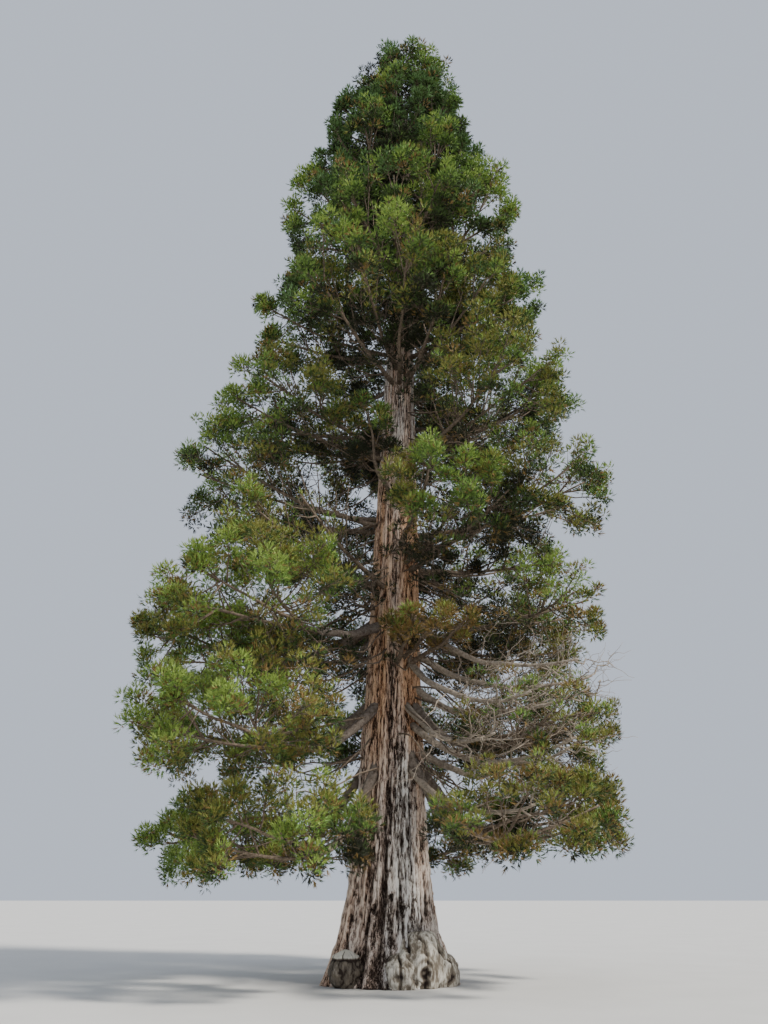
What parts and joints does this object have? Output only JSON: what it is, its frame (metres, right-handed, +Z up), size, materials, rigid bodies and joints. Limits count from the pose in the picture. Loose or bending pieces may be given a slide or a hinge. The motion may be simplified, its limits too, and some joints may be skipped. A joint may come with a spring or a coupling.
{
  "type": "giant sequoia tree",
  "caption": "Tall conical conifer: tapering furrowed trunk with a flared, burled foot, curved boughs and rounded masses of scaly evergreen foliage.",
  "frame": {"origin": "on the flat cut at ground level, on the trunk's axis", "axes": "+Z up along the trunk, -Y towards the side that the picture shows, +X to the right of that view"},
  "size_m": [10.921, 10.6203, 25.9965],
  "materials": {
    "bark": "deeply furrowed fibrous bark, cinnamon brown, weathered grey near the ground",
    "limb_bark": "rough grey-brown bark",
    "foliage": "matt scaly evergreen sprays"
  },
  "bodies": {
    "root": {"trunk": "bark", "lower_bough_1": "limb_bark", "lower_bough_2": "limb_bark", "lower_bough_3": "limb_bark", "lower_bough_4": "limb_bark", "lower_bough_5": "limb_bark", "skirt_bough_1": "limb_bark", "skirt_bough_2": "limb_bark", "skirt_bough_3": "limb_bark", "skirt_bough_4": "limb_bark", "skirt_bough_5": "limb_bark", "waist_bough_1": "limb_bark", "waist_bough_2": "limb_bark", "waist_bough_3": "limb_bark", "waist_bough_4": "limb_bark", "waist_bough_5": "limb_bark", "cap_foliage_1": "foliage", "cap_foliage_2": "foliage", "cap_foliage_3": "foliage", "crown_foliage_1": "foliage", "crown_foliage_2": "foliage", "crown_foliage_3": "foliage", "high_foliage_1": "foliage", "high_foliage_2": "foliage", "high_foliage_3": "foliage", "high_foliage_4": "foliage", "high_foliage_5": "foliage", "leader_foliage": "foliage", "lower_foliage_1": "foliage", "lower_foliage_2": "foliage", "lower_foliage_3": "foliage", "lower_foliage_4": "foliage", "lower_foliage_5": "foliage", "middle_foliage_1": "foliage", "middle_foliage_2": "foliage", "middle_foliage_3": "foliage", "middle_foliage_4": "foliage", "middle_foliage_5": "foliage", "middle_foliage_6": "foliage", "neck_foliage_1": "foliage", "neck_foliage_2": "foliage", "neck_foliage_3": "foliage", "neck_foliage_4": "foliage", "shoulder_foliage_1": "foliage", "shoulder_foliage_2": "foliage", "shoulder_foliage_3": "foliage", "shoulder_foliage_4": "foliage", "shoulder_foliage_5": "foliage", "skirt_foliage_1": "foliage", "skirt_foliage_2": "foliage", "skirt_foliage_3": "foliage", "skirt_foliage_4": "foliage", "skirt_foliage_5": "foliage", "sprout_foliage_1": "foliage", "waist_foliage_1": "foliage", "waist_foliage_2": "foliage", "waist_foliage_3": "foliage", "waist_foliage_4": "foliage", "waist_foliage_5": "foliage"}
  },
  "joints": []
}
